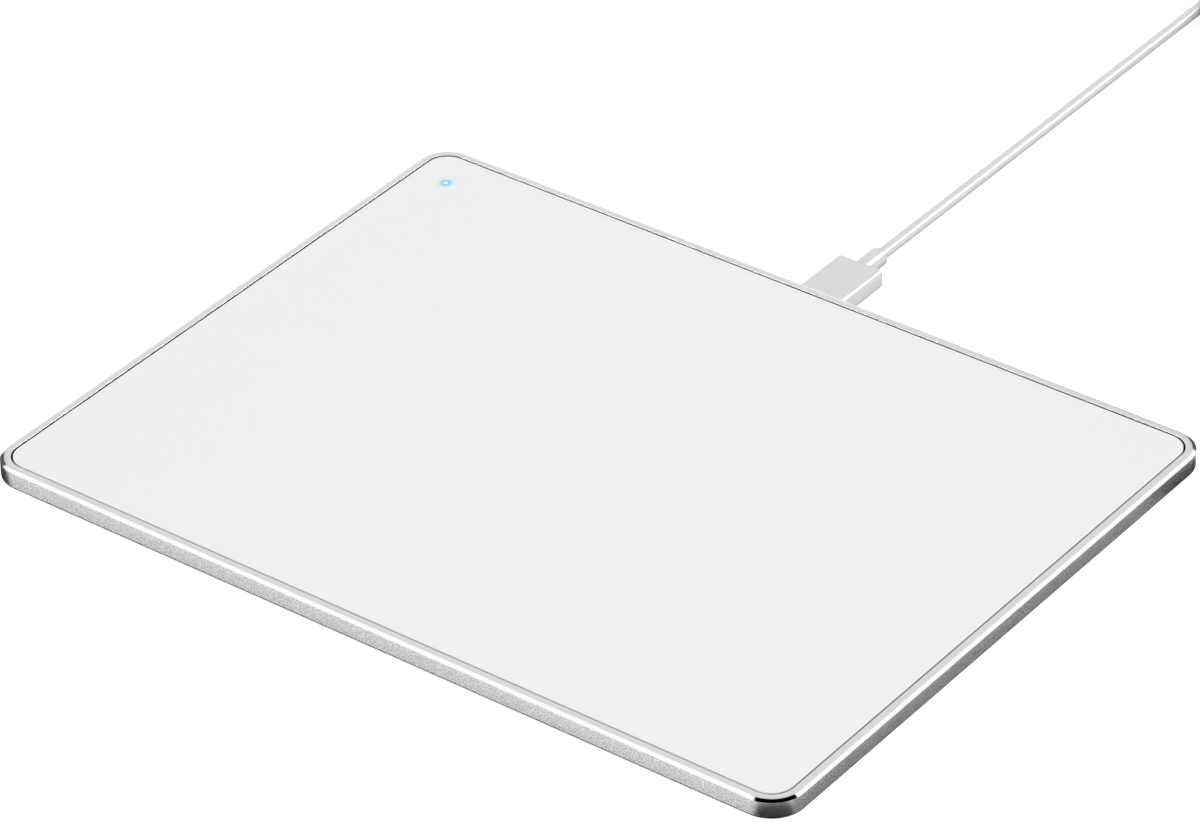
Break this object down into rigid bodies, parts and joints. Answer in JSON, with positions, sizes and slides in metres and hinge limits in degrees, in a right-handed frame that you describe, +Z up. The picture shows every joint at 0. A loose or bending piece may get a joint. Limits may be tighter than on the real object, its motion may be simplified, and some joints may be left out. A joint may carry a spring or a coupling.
{
  "type": "trackpad",
  "caption": "Wireless touch pad with a white glass top in a slim aluminium frame, a pressed touch plate on sprung hinges, and a plugged-in charging lead.",
  "frame": {"origin": "on the table under the middle of the pad, level with the bottoms of its rubber feet", "axes": "+X to the pad's right, +Y to its rear edge, where the lead plugs in, +Z up through the glass"},
  "size_m": [0.18, 0.3238, 0.0084],
  "materials": {
    "glass": "satin opaque white",
    "film": "smooth",
    "frame_metal": "bead blasted with a polished bevel",
    "tray_plastic": "fine texture",
    "foot_rubber": "matt",
    "board": "solder mask",
    "steel": "brushed",
    "spring_metal": "smooth",
    "gold": "plated",
    "chip_black": "matt",
    "connector": "matt",
    "ribbon": "smooth",
    "tongue_plastic": "matt",
    "lamp": "clear",
    "control_plastic": "satin",
    "hard_pad": "matt",
    "pouch": "satin foil",
    "tape": "matt",
    "wire": "smooth",
    "lead_plastic": "smooth",
    "cord_jacket": "smooth",
    "shell_metal": "plated",
    "strap": "woven"
  },
  "bodies": {
    "base": {"battery_board": "board", "battery_cell": "pouch", "battery_connector": "connector", "battery_leads": "wire", "battery_tape": "tape", "bezel_frame": "frame_metal", "board_chips": "chip_black", "board_screws": "steel", "bottom_tray": "tray_plastic", "hinge_screws": "steel", "main_board": "board", "pair_switch": "chip_black", "power_switch_body": "chip_black", "ribbon_connector": "connector", "rubber_feet": "foot_rubber", "shield_can": "steel", "socket_contacts": "gold", "socket_shell": "shell_metal", "socket_tongue": "tongue_plastic", "switch_base": "chip_black", "switch_board": "board", "switch_cover": "steel", "switch_dome": "spring_metal", "switch_ribbon": "ribbon", "switch_terminals": "gold", "touch_ribbon": "ribbon", "tray_screws": "steel"},
    "touch_plate": {"cover_glass": "glass", "glass_film": "film", "sensor_board": "board", "led_lens": "film", "indicator_led": "lamp", "touch_chips": "chip_black", "touch_connector": "connector", "stiffener_plate": "steel", "leaf_springs": "steel", "leaf_screws": "steel", "strike_pad": "hard_pad"},
    "click_plunger": {"switch_plunger": "connector"},
    "slide_knob": {"power_slider": "control_plastic"},
    "pair_knob": {"pair_button": "control_plastic"},
    "lead": {"plug_overmold": "lead_plastic", "plug_shell": "shell_metal", "plug_insert": "tongue_plastic", "plug_boot": "lead_plastic", "cable_run": "cord_jacket", "cable_coil": "cord_jacket", "cable_tail": "cord_jacket", "coil_tie": "strap", "host_boot": "lead_plastic", "host_overmold": "lead_plastic", "host_shell": "shell_metal", "host_tongue": "tongue_plastic", "host_contacts": "gold"}
  },
  "joints": [
    {"name": "plate_press", "type": "hinge", "parent": "base", "child": "touch_plate", "pos_m": [0, 0.05885, 0.0052], "axis": [1, 0, 0], "range_deg": [0, 0.149], "stiffness_Nm_per_rad": 20, "springref_deg": -0.46},
    {"name": "plunger_press", "type": "slide", "parent": "base", "child": "click_plunger", "axis": [0, 0, -1], "range_m": [0, 0.0003], "deforming": ["switch_dome"]},
    {"name": "lead_pull", "type": "slide", "parent": "base", "child": "lead", "axis": [0, 1, 0], "range_m": [0, 0.007]},
    {"name": "power_slide", "type": "slide", "parent": "base", "child": "slide_knob", "axis": [-1, 0, 0], "range_m": [0, 0.002]},
    {"name": "pair_press", "type": "slide", "parent": "base", "child": "pair_knob", "axis": [0, 0, 1], "range_m": [0, 0.00025], "stiffness_N_per_m": 2000, "springref_m": -0.0001}
  ],
  "couplings": [
    {"joint": "plunger_press", "follows": "plate_press", "m_per_rad": 0.1149}
  ]
}
